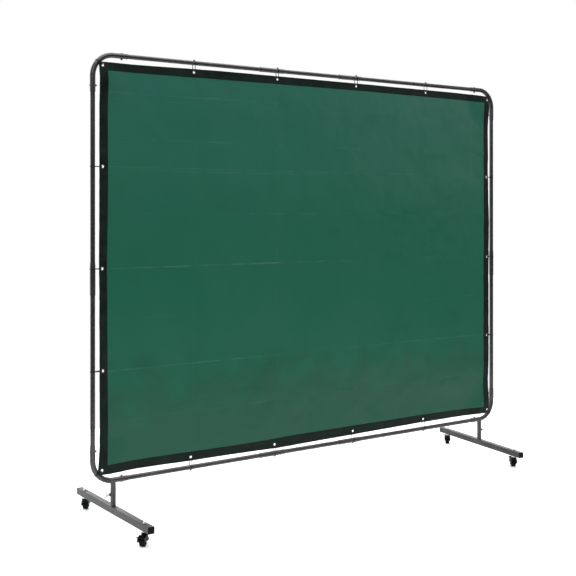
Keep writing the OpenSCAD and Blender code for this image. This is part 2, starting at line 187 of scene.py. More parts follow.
class StageSettings(bpy.types.PropertyGroup):
    camera_x: length("Camera X", -3.094, "Camera's place along the screen")
    camera_y: length("Camera Y", -4.139, "Camera's place in front of the screen")
    camera_z: length("Camera height", 1.410, "Camera's height above the floor")
    camera_turn: FloatProperty(
        name="Camera turn",
        description="Angle from facing the screen, to the right",
        default=math.radians(35.0),
        unit="ROTATION",
    )
    lens: FloatProperty(
        name="Lens", description="Focal length", default=63.3, unit="CAMERA", min=10
    )
    shift: FloatProperty(name="Shift", description="Vertical lens shift", default=-0.1363)
    floor_width: length("Floor width", 5.0, "Width of the floor")
    floor_front: length("Floor front", 1.9, "How far the floor reaches in front of the screen")
    floor_back: length("Floor back", 1.9, "How far the floor reaches behind the screen")
    floor_white: colour("Floor", (0.97, 0.97, 0.97), "Colour of the studio floor")


def curtain_settings():
    return bpy.context.scene.screen_curtain


def hem_settings():
    return bpy.context.scene.screen_hem


def finish_settings():
    return bpy.context.scene.screen_finish


def stage_settings():
    return bpy.context.scene.screen_stage


# ---- materials ----


class Finish:
    """A node material under construction: one Principled shader and the nodes that feed it."""

    def __init__(self, name, **fixed):
        self.material = bpy.data.materials.new(name)
        self.material.use_nodes = True
        self.tree = self.material.node_tree
        self.shader = self.tree.nodes["Principled BSDF"]
        for socket, value in fixed.items():
            self.shader.inputs[socket.replace("_", " ")].default_value = value
        self.place = self.tree.nodes.new("ShaderNodeTexCoord").outputs["Object"]

    def node(self, kind, **inputs):
        made = self.tree.nodes.new(kind)
        for socket, value in inputs.items():
            target = made.inputs[socket.replace("_", " ")]
            if isinstance(value, bpy.types.NodeSocket):
                self.tree.links.new(value, target)
            else:
                target.default_value = value
        return made

    def link(self, source, target):
        self.tree.links.new(source, target)

    def stretched(self, x=1.0, y=1.0, z=1.0):
        """Object coordinates scaled apart along the three axes."""
        made = self.node("ShaderNodeMapping", Vector=self.place)
        made.inputs["Scale"].default_value = (x, y, z)
        return made.outputs["Vector"]

    def noise(self, scale, detail=2.0, roughness=0.5, distortion=0.0, vector=None):
        made = self.node(
            "ShaderNodeTexNoise",
            Vector=vector or self.place,
            Scale=scale,
            Detail=detail,
            Roughness=roughness,
            Distortion=distortion,
        )
        return made.outputs["Fac"]

    def ramp(self, source, low, high, start=0.0, end=1.0):
        """Maps source from low..high to start..end, held at both ends."""
        made = self.tree.nodes.new("ShaderNodeMapRange")
        made.clamp = True
        self.link(source, made.inputs["Value"])
        for socket, value in zip(
            ("From Min", "From Max", "To Min", "To Max"), (low, high, start, end)
        ):
            made.inputs[socket].default_value = value
        return made.outputs["Result"]

    def maths(self, operation, a, b):
        made = self.tree.nodes.new("ShaderNodeMath")
        made.operation = operation
        for socket, value in zip(made.inputs, (a, b)):
            if isinstance(value, bpy.types.NodeSocket):
                self.link(value, socket)
            else:
                socket.default_value = value
        return made.outputs["Value"]

    def blend(self, share, a, b):
        """Colour a where share is 0 and colour b where it is 1."""
        made = self.tree.nodes.new("ShaderNodeMix")
        made.data_type = "RGBA"
        for socket, value in (("Factor", share), ("A", a), ("B", b)):
            target = next(
                s for s in made.inputs if s.name == socket and s.type in ("VALUE", "RGBA") and s.enabled
            )
            if isinstance(value, bpy.types.NodeSocket):
                self.link(value, target)
            elif target.type == "RGBA":
                target.default_value = (*value[:3], 1.0)
            else:
                target.default_value = value
        return next(s for s in made.outputs if s.type == "RGBA")

    def colour(self, source):
        self.link(source, self.shader.inputs["Base Color"])

    def gloss(self, source):
        self.link(source, self.shader.inputs["Roughness"])

    def bump(self, height, distance, strength=1.0):
        """Adds a bump on top of any bump that the shader already has."""
        made = self.node("ShaderNodeBump", Height=height, Distance=distance, Strength=strength)
        normal = self.shader.inputs["Normal"]
        if normal.is_linked:
            self.link(normal.links[0].from_socket, made.inputs["Normal"])
        self.link(made.outputs["Normal"], normal)


def shade(tone, scale):
    """A colour made darker or lighter."""
    return tuple(min(1.0, c * scale) for c in tone)


def powder_coat(name, tone, gloss, metallic, specular=0.5):
    """Powder coat with metal flake: fine orange peel, faint cloudiness and a few dull scuffs."""
    made = Finish(name, Metallic=metallic, Specular_IOR_Level=specular)
    clouds = made.noise(9.0, detail=4.0)
    scuffs = made.noise(38.0, detail=6.0, roughness=0.7, distortion=0.4)
    made.colour(
        made.blend(
            made.ramp(scuffs, 0.62, 0.75, 0.0, 0.35),
            made.blend(made.ramp(clouds, 0.35, 0.65), shade(tone, 0.86), shade(tone, 1.14)),
            shade(tone, 1.3),
        )
    )
    made.gloss(made.ramp(scuffs, 0.40, 0.72, gloss, gloss + 0.14))
    made.bump(made.noise(1400.0, detail=1.0), 0.00006, 0.5)
    return made.material


def plated_steel(name, tone, roughness):
    """Bright plating: metal with fine drawn streaks and slight spangle."""
    made = Finish(name, Metallic=1.0)
    streaks = made.noise(700.0, detail=3.0, vector=made.stretched(1.0, 1.0, 6.0))
    made.colour(made.blend(made.ramp(streaks, 0.35, 0.65), shade(tone, 0.82), shade(tone, 1.1)))
    made.gloss(made.ramp(made.noise(160.0, detail=4.0), 0.35, 0.7, roughness, roughness + 0.16))
    made.bump(streaks, 0.00003, 0.4)
    return made.material


def moulded(name, tone, gloss, grain=900.0):
    """Moulded plastic or rubber: a fine spark grain and slightly uneven gloss."""
    made = Finish(name, Specular_IOR_Level=0.08)
    spots = made.noise(60.0, detail=5.0, roughness=0.6)
    made.colour(made.blend(made.ramp(spots, 0.4, 0.7), shade(tone, 0.85), shade(tone, 1.35)))
    made.gloss(made.ramp(spots, 0.35, 0.7, gloss, gloss + 0.12))
    made.bump(made.noise(grain, detail=2.0), 0.00008, 0.5)
    return made.material


def tinted_vinyl(settings):
    """The green sheet: cloudy tint, whitened fold lines, a painted reflection low down and fine ripples.
    """
    made = Finish("tinted_vinyl", Specular_IOR_Level=0.2)
    height = made.node("ShaderNodeSeparateXYZ", Vector=made.place).outputs["Z"]
    clouds = made.noise(1.7, detail=5.0, roughness=0.55, vector=made.stretched(1.0, 1.0, 0.7))
    # the tint is lighter towards the top, where the overhead light shows through it
    lift = made.maths("ADD", made.ramp(clouds, 0.3, 0.7, -0.3, 0.3), made.ramp(height, 1.2, 2.0))
    tint = made.blend(made.ramp(lift, 0.0, 1.0), settings.sheet_deep, settings.sheet_green)
    # painted reflection of the floor and surroundings: a darker tint that thickens towards the bottom,
    # in ragged patches
    streaks = made.noise(
        4.5, detail=5.0, roughness=0.6, distortion=0.25, vector=made.stretched(1.0, 1.0, 1.5)
    )
    low = made.ramp(height, CURTAIN_BOTTOM + 0.15, CURTAIN_BOTTOM + 0.62, 1.0, 0.0)
    ragged = made.maths("ADD", low, made.ramp(streaks, 0.3, 0.7, -0.45, 0.45))
    painted_reflection = made.ramp(ragged, 0.25, 0.85, 0.0, 0.85)
    tint = made.blend(painted_reflection, tint, settings.reflection_tint)
    crease = made.tree.nodes.new("ShaderNodeAttribute")
    crease.attribute_name = "crease"
    worn = made.noise(30.0, detail=4.0, vector=made.stretched(0.35, 1.0, 1.0))
    whitened = made.maths("MULTIPLY", crease.outputs["Fac"], made.ramp(worn, 0.42, 0.62, 0.08, 1.0))
    made.colour(made.blend(whitened, tint, settings.crease_pale))
    made.gloss(
        made.ramp(
            made.noise(3.0, detail=6.0, vector=made.stretched(1.0, 1.0, 0.5)),
            0.3,
            0.7,
            settings.roughness - 0.05,
            settings.roughness + 0.09,
        )
    )
    made.bump(made.noise(4.5, detail=3.0, vector=made.stretched(1.0, 1.0, 0.45)), 0.006, 0.35)
    made.bump(
        made.noise(26.0, detail=5.0, roughness=0.6, vector=made.stretched(0.4, 1.0, 1.0)), 0.0009, 0.3
    )
    made.bump(made.noise(1100.0, detail=1.0), 0.00003, 0.3)
    return made.material


def hem_vinyl(settings):
    """The black hem: coated fabric with a fine weave showing through and puckered gloss."""
    made = Finish("hem_vinyl", Specular_IOR_Level=0.1)
    patches = made.noise(14.0, detail=5.0, roughness=0.6)
    made.colour(
        made.blend(
            made.ramp(patches, 0.35, 0.7), shade(settings.black, 0.8), shade(settings.black, 1.5)
        )
    )
    made.gloss(made.ramp(patches, 0.3, 0.7, 0.36, 0.52))
    weave = made.noise(900.0, detail=1.0)
    made.bump(weave, 0.00006, 0.5)
    made.bump(made.noise(45.0, detail=4.0), 0.0008, 0.35)
    return made.material


# ---- mesh helpers ----


def new_piece(name, points, faces, material, closed=True):
    """Makes a smooth mesh object; a closed one gets its normals facing out."""
    mesh = bpy.data.meshes.new(name)
    mesh.from_pydata([tuple(p) for p in points], [], faces)
    if closed:
        work = bmesh.new()
        work.from_mesh(mesh)
        bmesh.ops.recalc_face_normals(work, faces=work.faces)
        work.to_mesh(mesh)
        work.free()
    mesh.materials.append(material)
    mesh.polygons.foreach_set("use_smooth", [True] * len(mesh.polygons))
    piece = bpy.data.objects.new(name, mesh)
    bpy.context.scene.collection.objects.link(piece)
    return piece


class Shape:
    """Points and faces gathered from several solids that make one piece."""

    def __init__(self):
        self.points = []
        self.faces = []

    def add(self, points, faces):
        start = len(self.points)
        self.points += [Vector(p) for p in points]
        self.faces += [tuple(start + i for i in face) for face in faces]

    def ring_strip(self, rings, closed_run=False, caps=False):
        """Skins closed rings of points: each ring joins the next."""
        count = len(rings[0])
        points = [p for ring in rings for p in ring]
        faces = []
        runs = len(rings) if closed_run else len(rings) - 1
        for i in range(runs):
            a, b = i * count, ((i + 1) % len(rings)) * count
            for j in range(count):
                k = (j + 1) % count
                faces.append((a + j, a + k, b + k, b + j))
        if caps:
            faces.append(tuple(range(count))[::-1])
            faces.append(tuple((len(rings) - 1) * count + j for j in range(count)))
        self.add(points, faces)

    def block(self, matrix, size, bevel):
        """A box with rounded edges, placed by matrix."""
        work = bmesh.new()
        bmesh.ops.create_cube(work, size=1.0, matrix=Matrix.Diagonal((*size, 1.0)))
        bmesh.ops.bevel(
            work, geom=list(work.edges), offset=bevel, segments=2, affect="EDGES", profile=0.5
        )
        bmesh.ops.transform(work, matrix=matrix, verts=work.verts)
        work.verts.index_update()
        self.add([v.co.copy() for v in work.verts], [[v.index for v in f.verts] for f in work.faces])
        work.free()

    def piece(self, name, material):
        return new_piece(name, self.points, self.faces, material)


def apply_modifiers(piece):
    """Turns the piece's modifiers into its mesh."""
    bpy.context.view_layer.update()
    graph = bpy.context.evaluated_depsgraph_get()
    mesh = bpy.data.meshes.new_from_object(piece.evaluated_get(graph))
    piece.modifiers.clear()
    piece.data = mesh


def settle(piece, slot, *nodes):
    """Fixes a piece to the frame in place of its CAD nodes."""
    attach(piece, FRAME_BODY)
    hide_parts(*nodes)


# ---- the sheet's surface ----


def bump_curve(distance, width):
    return math.exp(-((distance / width) ** 2))


# Fold lines across the sheet: height above the bottom rail, strength, the share of the width
# where each begins and ends, and how patchy it is
FOLD_ROWS = (
    (1.726, 0.50, 0.00, 0.42, 0.60),
    (1.700, 0.45, 0.02, 0.30, 0.90),
    (1.522, 0.45, 0.05, 0.70, 0.90),
    (1.395, 0.70, 0.00, 0.78, 0.55),
    (1.382, 0.45, 0.08, 0.50, 0.90),
    (1.184, 0.45, 0.10, 0.60, 0.92),
    (0.940, 0.75, 0.00, 0.66, 0.50),
    (0.712, 0.22, 0.00, 1.00, 0.95),
    (0.486, 0.70, 0.00, 1.00, 0.55),
    (0.262, 0.25, 0.00, 1.00, 0.90),
)

# Upright fold lines: place along the screen, strength and how patchy each is
FOLD_COLUMNS = ((-0.735, 0.16, 0.7), (-0.262, 0.16, 0.7), (0.236, 0.16, 0.7), (0.728, 0.2, 0.7))

# How far the hem's outer and inner edges lie from a true rectangle, in millimetres, as
# (place along the edge in metres, offset outer, offset inner). They are measured values, apart
# from most of the rows by the corners, which were given one by one
HEM_TOP = (
    (-1.22, -4.6, -1.0), (-1.15, -4.3, -0.7), (-0.95, -1.9, 0.8), (-0.785, 1.7, 1.5),
    (-0.60, 3.6, 3.2), (-0.15, 4.1, 5.4), (0.30, 3.6, 7.2), (0.60, 2.9, 5.3), (0.964, 1.7, 4.3),
    (1.10, -1.0, 1.0), (1.22, -7.0, -2.0),
)
HEM_BOTTOM = (
    (-1.22, 2.3, 2.8), (-1.15, 2.1, 2.6), (-0.95, 1.3, 1.8), (-0.785, -1.7, 0.6), (-0.567, -2.7, -1.6),
    (-0.431, -5.4, -2.4), (-0.242, -9.3, 0.6), (-0.169, -7.7, 2.4), (0.0, -4.7, 3.1),
    (0.20, -3.2, 3.1), (0.489, 0.2, 3.6), (0.70, 2.3, 4.1), (0.902, 2.3, 2.1), (1.09, 1.6, -1.8),
    (1.22, 1.4, -2.6),
)
HEM_LEFT = (
    (0.24, -11.0, -5.0), (0.30, -7.0, -3.0), (0.37, 2.0, 3.0), (0.43, 6.0, 6.4),
    (0.60, 6.0, 5.4), (0.80, 4.2, 3.4), (1.13, 2.7, 1.4),
    (1.235, 2.5, 2.3), (1.51, 3.8, 5.9), (1.90, 4.4, 5.5),
    (1.98, 0.5, 2.5), (2.07, -5.5, -3.0),
)
HEM_RIGHT = (
    (0.24, -14.0, -14.5), (0.30, -11.0, -12.0), (0.40, -5.0, -6.0), (0.50, -2.0, -1.2),
    (0.60, 2.0, 0.4), (0.896, 2.0, 0.2),
    (0.995, 2.4, -1.0), (1.244, 3.0, 2.0), (1.462, -1.0, 2.3), (1.672, -5.0, 2.3),
    (1.88, -5.0, 0.0), (1.97, -8.0, -6.0), (2.07, -12.0, -12.0),
)


def patchy(along, seed, patchiness):
    """1 where a fold line is strong, less where it fades, along its length."""
    wave = noise.noise(Vector((along * 2.3, seed * 7.31, 0.5))) * 0.5 + 0.5
    fine = noise.noise(Vector((along * 9.0, seed * 3.17, 4.5))) * 0.5 + 0.5
    fade = min(1.0, max(0.0, (0.65 * wave + 0.35 * fine - 0.38) * 5.0))
    return 1.0 - patchiness * (1.0 - fade)


def smooth(value):
    """0 to 1 with a soft start and end."""
    held = min(1.0, max(0.0, value))
    return held * held * (3 - 2 * held)


def crease_at(x, z, settings):
    """(height, whitening) of the fold lines at a place on the sheet."""
    width = settings.crease_width
    near = FOLD_WANDER + 4 * width
    rise = pale = 0.0
    share = (x - CURTAIN_LEFT) / CURTAIN_W
    for seed, (height, strength, start, end, patchiness) in enumerate(FOLD_ROWS):
        line = BOTTOM_RAIL_Z + height
        if abs(z - line) > near:
            continue
        line += FOLD_WANDER * noise.noise(Vector((x * 1.1, seed * 5.7, 9.0)))
        lasts = smooth((share - start + 0.04) / 0.05) * smooth((end - share + 0.04) / 0.12)
        part = strength * lasts * patchy(x, seed, patchiness) * bump_curve(z - line, width)
        rise += part if seed % 2 else -part
        pale += part
    for seed, (column, strength, patchiness) in enumerate(FOLD_COLUMNS):
        if abs(x - column) > near:
            continue
        line = column + FOLD_WANDER * noise.noise(Vector((z * 1.3, seed * 4.1, 2.0)))
        part = strength * patchy(z, seed + 20, patchiness) * bump_curve(x - line, width)
        rise += part
        pale += part
    return rise * settings.crease_height, min(1.0, pale)


def fold_bulge(x, z, settings):
    """The slow bow that a folded sheet keeps between its fold lines."""
    up = math.sin(math.pi * ((z - CURTAIN_BOTTOM) / CURTAIN_H * 8))
    across = math.sin(math.pi * ((x - CURTAIN_LEFT) / CURTAIN_W * 5))
    wander = noise.noise(Vector((x * 0.9, 0.0, z * 0.9)))
    return settings.panel_bulge * (0.6 * up + 0.5 * across + 1.2 * wander)


def hem_offset(table, along, depth):
    """Offset of one side's hem at a depth in from its edge; it dies away inside the sheet."""
    places = [row[0] for row in table]
    outer = float(np.interp(along, places, [row[1] for row in table]))
    inner = float(np.interp(along, places, [row[2] for row in table]))
    share = min(1.0, max(0.0, depth / HEM_WIDTH))
    fade = math.exp(-max(0.0, depth - HEM_WIDTH) / HEM_FADE)
    return (outer + (inner - outer) * share) * fade * MM


def edge_pull(x, z):
    """In-plane offset of the sheet near its edges, which are drawn between the ties."""
    return Vector(
        (
            hem_offset(HEM_LEFT, z, x - CURTAIN_LEFT) + hem_offset(HEM_RIGHT, z, CURTAIN_RIGHT - x),
            0.0,
            hem_offset(HEM_TOP, x, CURTAIN_TOP - z) + hem_offset(HEM_BOTTOM, x, z - CURTAIN_BOTTOM),
        )
    )


def corner_forward(x, z):
    """How far the sheet stands forward near its corners."""
    across = min(x - CURTAIN_LEFT, CURTAIN_RIGHT - x)
    up = min(z - CURTAIN_BOTTOM, CURTAIN_TOP - z)
    away = math.hypot(max(across, 0.0), max(up, 0.0))
    return CORNER_FORWARD * (1.0 - smooth((away - CORNER_FLAT) / (CORNER_RAMP - CORNER_FLAT)))


class Sheet:
    """The curtain's middle surface: drawn edges, raised corners, a slight drape and folds."""

    def __init__(self):
        self.settings = curtain_settings()
        self.xs = np.linspace(CURTAIN_LEFT, CURTAIN_RIGHT, DRAPE_COLUMNS)
        self.zs = np.linspace(CURTAIN_BOTTOM, CURTAIN_TOP, DRAPE_ROWS)
        self.drape = np.zeros((len(self.zs), len(self.xs), 3))
        self.drape = self.simulate()

    def simulate(self):
        """Lets a cloth grid hang from the eyelets and returns how far each point moved."""
        xs, zs = self.xs, self.zs
        count = len(xs)
        points = [
            (x, 0.002 * noise.noise(Vector((x * 2.1, 3.0, z * 1.7))), z) for z in zs for x in xs
        ]
        faces = [
            (j * count + i, j * count + i + 1, (j + 1) * count + i + 1, (j + 1) * count + i)
            for j in range(len(zs) - 1)
            for i in range(count - 1)
        ]
        cloth_mesh = bpy.data.meshes.new("drape")
        cloth_mesh.from_pydata(points, [], faces)
        cloth = bpy.data.objects.new("drape", cloth_mesh)
        bpy.context.scene.collection.objects.link(cloth)
        held = cloth.vertex_groups.new(name="held")
        held.add(
            [
                int(np.abs(zs - z).argmin()) * count + int(np.abs(xs - x).argmin())
                for x, z, _ in eyelet_places()
            ],
            1.0,
            "REPLACE",
        )
        modifier = cloth.modifiers.new("cloth", "CLOTH")
        fabric = modifier.settings
        fabric.quality = 6
        fabric.mass = 0.0006
        fabric.air_damping = 1.5
        fabric.tension_stiffness = fabric.compression_stiffness = 60
        fabric.shear_stiffness = 30
        fabric.bending_stiffness = 1.5
        fabric.shrink_min = -self.settings.slack
        fabric.vertex_group_mass = "held"
        modifier.collision_settings.use_collision = False
        modifier.point_cache.frame_end = DRAPE_FRAMES
        scene = bpy.context.scene
        for step in range(1, DRAPE_FRAMES + 1):
            scene.frame_set(step)
        graph = bpy.context.evaluated_depsgraph_get()
        settled = cloth.evaluated_get(graph).to_mesh()
        place = np.zeros(len(settled.vertices) * 3)
        settled.vertices.foreach_get("co", place)
        place = place.reshape(len(zs), count, 3)
        cloth.evaluated_get(graph).to_mesh_clear()
        bpy.data.objects.remove(cloth)
        bpy.data.meshes.remove(cloth_mesh)
        scene.frame_set(1)
        rest = np.array(points).reshape(len(zs), count, 3)
        rest[:, :, 1] = 0.0
        return np.clip(place - rest, -DRAPE_LIMIT, DRAPE_LIMIT)

    def drape_at(self, x, z):
        i = min(max(int(np.searchsorted(self.xs, x)) - 1, 0), len(self.xs) - 2)
        j = min(max(int(np.searchsorted(self.zs, z)) - 1, 0), len(self.zs) - 2)
        u = min(max((x - self.xs[i]) / (self.xs[i + 1] - self.xs[i]), 0.0), 1.0)
        v = min(max((z - self.zs[j]) / (self.zs[j + 1] - self.zs[j]), 0.0), 1.0)
        d = self.drape
        low = d[j, i] * (1 - u) + d[j, i + 1] * u
        high = d[j + 1, i] * (1 - u) + d[j + 1, i + 1] * u
        return Vector(low * (1 - v) + high * v)

    def point(self, x, z, creased=True):
        """The surface's place for the flat point x, z, and how whitened the vinyl is there."""
        place = Vector((x, -corner_forward(x, z), z)) + self.drape_at(x, z) + edge_pull(x, z)
        edge = min(x - CURTAIN_LEFT, CURTAIN_RIGHT - x, z - CURTAIN_BOTTOM, CURTAIN_TOP - z)
        free = min(1.0, max(0.0, (edge - BOW_START) / BOW_RAMP))
        place.y += fold_bulge(x, z, self.settings) * free
        rise, pale = crease_at(x, z, self.settings) if creased else (0.0, 0.0)
        place.y += rise * (0.25 + 0.75 * free)
        return place, pale


@functools.cache
def eyelet_places():
    """Every eyelet's place on the flat sheet, and the direction from it to its tube."""
    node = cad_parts["grommets"]
    groups = []
    for vertex in node.data.vertices:
        place = node.matrix_world @ vertex.co
        near = next((g for g in groups if (g[0] - place).length < 2.2 * FLANGE_R), None)
        if near is None:
            groups.append([place])
        else:
            near.append(place)
    places = []
    for group in groups:
        x = (min(p.x for p in group) + max(p.x for p in group)) / 2
        z = (min(p.z for p in group) + max(p.z for p in group)) / 2
        places.append(eyelet_place(x, z))
    return places


def eyelet_place(x, z):
    """One eyelet's place and direction; a corner's sits a hem's inset from both edges."""
    right, high = x > 0, z > (CURTAIN_BOTTOM + CURTAIN_TOP) / 2
    by_side = min(x - CURTAIN_LEFT, CURTAIN_RIGHT - x) < HEM_WIDTH
    by_rail = min(z - CURTAIN_BOTTOM, CURTAIN_TOP - z) < HEM_WIDTH
    if not by_side:
        return x, z, 90.0 if high else -90.0
    if not by_rail:
        return x, z, 0.0 if right else 180.0
    inset = CORNER_EYELET_INSET
    x = CURTAIN_RIGHT - 0.9 * inset if right else CURTAIN_LEFT + inset
    z = CURTAIN_TOP - (1.3 if right else 1.0) * inset if high else CURTAIN_BOTTOM + 1.2 * inset
    bend = bend_centre(right, high)
    return x, z, math.degrees(math.atan2(z - bend.z, x - bend.x))


def bend_centre(right, high):
    """Centre of the bend in one of the frame's corners."""
    return Vector(
        (
            (SIDE_X - BEND_R) * (1 if right else -1),
            0,
            TOP_RAIL_Z - BEND_R if high else BOTTOM_RAIL_Z + BEND_R,
        )
    )


@functools.cache
def sheet_surface():
    """The one surface that the sheet, hem, eyelets and stitches share."""
    return Sheet()


# ---- operators ----


class SCREEN_OT_stage(bpy.types.Operator):
    """Makes the camera, the pale floor and the soft studio light"""

    bl_idname = "screen.stage"
    bl_label = "Stage"

    def execute(self, context):
        settings = stage_settings()
        scene = context.scene
        scene.view_settings.view_transform = "Standard"
        self.camera(scene, settings)
        self.floor(scene, settings)
        self.sky(scene)
        self.lights(scene)
        return {"FINISHED"}

    def camera(self, scene, settings):
        data = bpy.data.cameras.new("camera")
        data.lens = settings.lens
        data.sensor_width = 36
        data.shift_y = settings.shift
        data.clip_end = 60
        camera = bpy.data.objects.new("camera", data)
        camera.location = (settings.camera_x, settings.camera_y, settings.camera_z)
        camera.rotation_euler = (math.pi / 2, 0, -settings.camera_turn)
        scene.collection.objects.link(camera)
        scene.camera = camera

    def floor(self, scene, settings):
        half = settings.floor_width / 2
        front, back = -settings.floor_front, settings.floor_back
        made = Finish("floor_white", Roughness=0.75, Specular_IOR_Level=0.2)
        soft = made.noise(0.8, detail=3.0)
        tone = tuple(settings.floor_white)
        made.colour(made.blend(soft, shade(tone, 0.99), tone))
        floor = new_piece(
            "floor",
            [(-half, front, 0), (half, front, 0), (half, back, 0), (-half, back, 0)],
            [(0, 1, 2, 3)],
            made.material,
            closed=False,
        )

    def sky(self, scene):
        """White behind the object, and a studio that is dim low down in front of it."""
        world = bpy.data.worlds.new("studio")
        world.use_nodes = True
        scene.world = world
        tree = world.node_tree
        tree.nodes.clear()
        make = tree.nodes.new
        place = make("ShaderNodeTexCoord")
        split = make("ShaderNodeSeparateXYZ")
        ramp = make("ShaderNodeValToRGB")
        behind, total = make("ShaderNodeMapRange"), make("ShaderNodeMath")
        total.operation = "ADD"
        for socket, value in (("From Min", 0.05), ("From Max", 0.5), ("To Max", 2.0)):
            behind.inputs[socket].default_value = value
        studio, white = make("ShaderNodeBackground"), make("ShaderNodeBackground")
        seen, mix = make("ShaderNodeLightPath"), make("ShaderNodeMixShader")
        out = make("ShaderNodeOutputWorld")
        stops = ramp.color_ramp.elements
        stops[0].position, stops[0].color = 0.0, (0.14, 0.14, 0.14, 1)
        stops[1].position, stops[1].color = 1.0, (1.0, 1.0, 1.0, 1)
        for position, level in ((0.18, 0.17), (0.45, 0.36)):
            stops.new(position).color = (level, level, level, 1)
        studio.inputs["Strength"].default_value = 1.0
        white.inputs["Color"].default_value = (1, 1, 1, 1)
        white.inputs["Strength"].default_value = 1.0
        for source, target in (
            (place.outputs["Generated"], split.inputs["Vector"]),
            (split.outputs["Z"], ramp.inputs["Fac"]),
            (split.outputs["Y"], behind.inputs["Value"]),
            (ramp.outputs["Color"], total.inputs[0]),
            (behind.outputs["Result"], total.inputs[1]),
            (total.outputs["Value"], studio.inputs["Color"]),
            (seen.outputs["Is Camera Ray"], mix.inputs["Fac"]),
            (studio.outputs["Background"], mix.inputs[1]),
            (white.outputs["Background"], mix.inputs[2]),
            (mix.outputs["Shader"], out.inputs["Surface"]),
        ):
            tree.links.new(source, target)

    def lights(self, scene):
        for name, place, target, size, power in (
            ("overhead", (0.0, -0.6, 5.2), (0.0, 0.0, 0.0), 7.0, 420.0),
            ("key", (-4.6, -4.6, 4.2), (0.0, 0.0, 1.0), 3.0, 85.0),
            ("sheen", (6.2, -4.4, 2.9), (0.9, 0.0, 1.4), 2.2, 34.0),
        ):
            data = bpy.data.lights.new(name, "AREA")
            data.shape = "SQUARE"
            data.size = size
            data.energy = power
            light = bpy.data.objects.new(name, data)
            light.location = place
            aim = Vector(target) - Vector(place)
            light.rotation_euler = aim.to_track_quat("-Z", "Y").to_euler()
            scene.collection.objects.link(light)


class SCREEN_OT_curtain(bpy.types.Operator):
    """Makes the tinted vinyl sheet with its fold lines"""

    bl_idname = "screen.curtain"
    bl_label = "Curtain sheet"

    def execute(self, context):
        settings = curtain_settings()
        surface = sheet_surface()
        under_hem = 30 * MM
        xs = self.lines(
            CURTAIN_LEFT + under_hem,
            CURTAIN_RIGHT - under_hem,
            122,
            [column for column, *_ in FOLD_COLUMNS],
            settings.crease_width,
        )
        zs = self.lines(
            CURTAIN_BOTTOM + under_hem,
            CURTAIN_TOP - under_hem,
            92,
            [BOTTOM_RAIL_Z + height for height, *_ in FOLD_ROWS],
            settings.crease_width,
        )
        points, pales = [], []
        for z in zs:
            for x in xs:
                place, pale = surface.point(x, z)
                points.append(place)
                pales.append(pale)
        count = len(xs)
        faces = [
            (j * count + i, j * count + i + 1, (j + 1) * count + i + 1, (j + 1) * count + i)
            for j in range(len(zs) - 1)
            for i in range(count - 1)
        ]
        sheet = new_piece("vinyl_sheet", points, faces, tinted_vinyl(settings), closed=False)
        crease = sheet.data.attributes.new("crease", "FLOAT", "POINT")
        crease.data.foreach_set("value", np.array(pales, np.float32))
        settle(sheet, "vinyl_sheet", "curtain_panel")
        return {"FINISHED"}

    def lines(self, low, high, count, folds, width):
        """Grid lines from low to high, closer together across each fold line."""
        spread = [-3.2, -2.4, -1.7, -1.1, -0.6, 0.0, 0.6, 1.1, 1.7, 2.4, 3.2]
        close = [fold + width * s for fold in folds for s in spread]
        clear = 3.8 * width
        plain = [v for v in np.linspace(low, high, count) if all(abs(v - f) > clear for f in folds)]
        ends = {low, high}
        return sorted({float(v) for v in plain + close if low < v < high} | ends)


